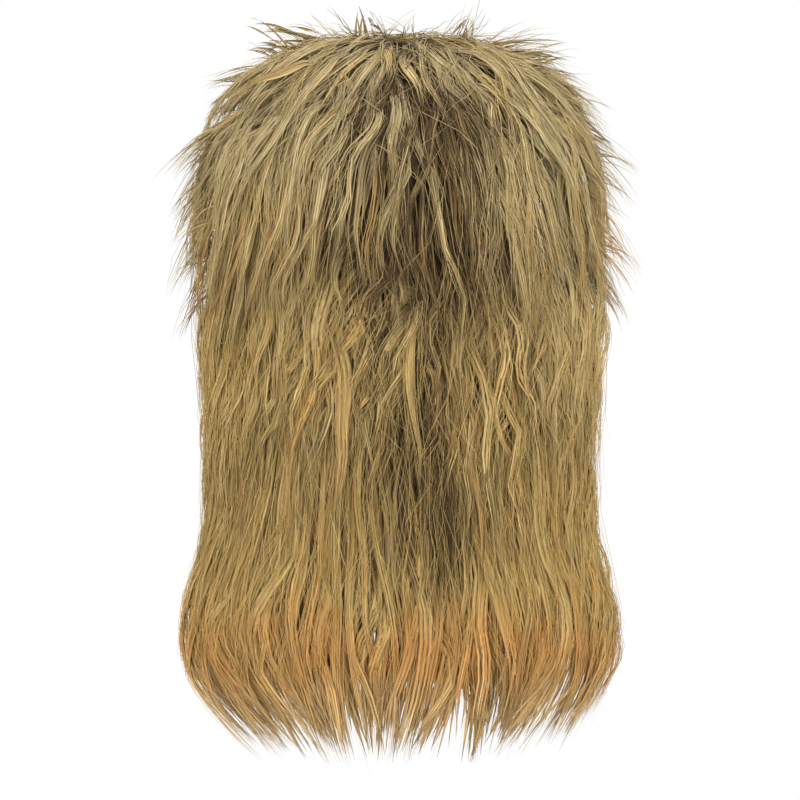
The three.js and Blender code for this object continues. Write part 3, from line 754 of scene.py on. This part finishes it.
CROWN = {
    **UPPER, "azimuths": (0, 360), "overlap": 60, "root": 0, "root_spread": 2.4, "tip": 6.6,
    "tip_spread": 3.4, "cover": [1, 1, 1, 1, 0.99, 0.98, 0.98], "depth": 0.4, "lift": 0.7,
    "ends_seed": 4, "gather": 0.4, "fan": 0.45, "drift": 10.0, "stiff": 0.36, "tousle": 3 * MM,
    "crimp": 1.6 * MM, "flick": (0 * MM, 4 * MM), "curl": 8 * MM, "roots": 0.6, "root_end": 0.62,
}
CROWN_DEEP = {**CROWN, "stiff": 0.3, "root_spread": 1.6}
CROWN_CORE = {**CROWN, "tousle": 0, "lift": 0.9, "fan": 0.2}
WHORL = {
    **CROWN, "root": -1.0, "root_spread": 1.5, "tip": 3.6, "tip_spread": 1.4, "depth": 0.2, "lift": 0.9,
    "fan": 0.0, "drift": 6.0, "tousle": 5 * MM, "gather": 0.0, "lock_width": (1 * MM, 3.5 * MM),
}
FUZZ = {
    **WHORL, "tip": 2.3, "tip_spread": 1.4, "flick": (20 * MM, 10 * MM), "curl": 14 * MM,
    "thinning": 0.3, "wave": (12 * MM, 24 * MM), "crimp": 2.5 * MM, "hair": 0.6 * MM,
}
CROWN_TUFTS = [
    (112, 1.5, 0.84, -0.24, -0.12),
    (98, 2.6, 0.68, 0.24, 0.12),
    (150, 0.8, 0.24, -0.3, -0.16),
    (222, 1.3, 0.32, -0.36, 0.18),
    (252, 2.1, 0.76, 0.08, 0.12),
    (257, 3.2, 0.64, 0.48, -0.08),
    (80, 2.9, 0.56, 0.44, -0.14),
    (279, 2.7, 0.6, 0.32, 0.14),
    (134, 3.1, 0.48, 0.72, 0.1),
    (209, 3.2, 0.48, 0.76, -0.12),
    (262, 1.7, 0.7, -0.1, 0.1),
    (268, 2.5, 0.6, 0.2, 0.0),
    (240, 2.6, 0.56, 0.3, 0.12),
    (248, 3.6, 0.5, 0.5, 0.0),
    (272, 3.6, 0.46, 0.5, 0.0),
    (102, 1.8, 0.5, 0.0, -0.1),
    (90, 3.4, 0.4, 0.5, 0.1),
    (118, 3.0, 0.4, 0.5, 0.0),
]
crown_finish = hair_finish("crown_hair", 0.02)
crown_parts = [
    comb(CROWN, locks=139, bands=3, hairs=9, points=12, seed=70),
    comb(CROWN_DEEP, locks=50, bands=3, hairs=0, points=11, seed=72, buried=0.08),
    core(CROWN_CORE, locks=260, points=8, seed=73, buried=0.24),
    comb(WHORL, locks=60, bands=0, hairs=7, points=11, seed=74),
    core({**WHORL, "tousle": 1 * MM, "depth": 0.4}, locks=110, points=8, seed=77, buried=0.2),
    comb(FUZZ, locks=60, bands=0, hairs=3, points=12, seed=76, loose=3 * MM),
    strays(CROWN, drift=20.0, count=200, seed=75, loose=3 * MM),
    *tufts(CROWN, CROWN_TUFTS, hairs=21, seed=700),
]
fit(plait("crown_hair", crown_parts), crown_finish, "crown_hair", "crown_locks")

# The studio: a pale floor below the wig, an even white surround, two large soft lamps on the camera's side
# and a smaller one above. The camera is straight behind the wearer, at the middle of the wig's height.

FLOOR_RADIUS, FLOOR_LEVEL = 1.1, -660 * MM
bpy.ops.mesh.primitive_circle_add(
    vertices=96, radius=FLOOR_RADIUS, fill_type="NGON", location=(0, 0, FLOOR_LEVEL)
)
floor = bpy.context.object
floor.name = "floor"
paint = Finish("pale_floor", roughness=0.9)
paint.shader.inputs["Base Color"].default_value = (0.86, 0.86, 0.85, 1)
floor.data.materials.append(paint.material)

world = bpy.data.worlds.new("white_surround")
world.use_nodes = True
world.node_tree.nodes["Background"].inputs["Color"].default_value = (1, 1, 1, 1)
world.node_tree.nodes["Background"].inputs["Strength"].default_value = 1.0
bpy.context.scene.world = world
bpy.context.scene.view_settings.view_transform = "Standard"

LIT_LEVEL = -200 * MM  # the height on the wig that the lamps face


def lamp(name, place, size, watts):
    """A square soft lamp that faces the middle of the wig."""
    light = bpy.data.lights.new(name, "AREA")
    light.size = size
    light.energy = watts
    made = bpy.data.objects.new(name, light)
    made.location = place
    towards = Vector((0, 0, LIT_LEVEL)) - made.location
    made.rotation_euler = towards.to_track_quat("-Z", "Y").to_euler()
    bpy.context.scene.collection.objects.link(made)


lamp("left_softbox", (1.0, 2.2, 0.5), size=1.3, watts=24)
lamp("right_softbox", (-1.0, 2.2, 0.5), size=1.3, watts=27)
lamp("top_softbox", (0, 0.2, 1.8), size=1.0, watts=18)

FRAME_WIDTH = 0.528  # metres that the picture spans at the wig's middle
DISTANCE = 2.5  # of the camera from there
WIG_MIDDLE = (30 * MM, -216.5 * MM)  # how far back it is from the origin, and its level
camera = bpy.data.cameras.new("camera")
camera.lens = camera.sensor_width * DISTANCE / FRAME_WIDTH
view = bpy.data.objects.new("camera", camera)
view.location = (0, DISTANCE + WIG_MIDDLE[0], WIG_MIDDLE[1])
view.rotation_euler = (math.radians(90), 0, math.radians(180))
bpy.context.scene.collection.objects.link(view)
bpy.context.scene.camera = view
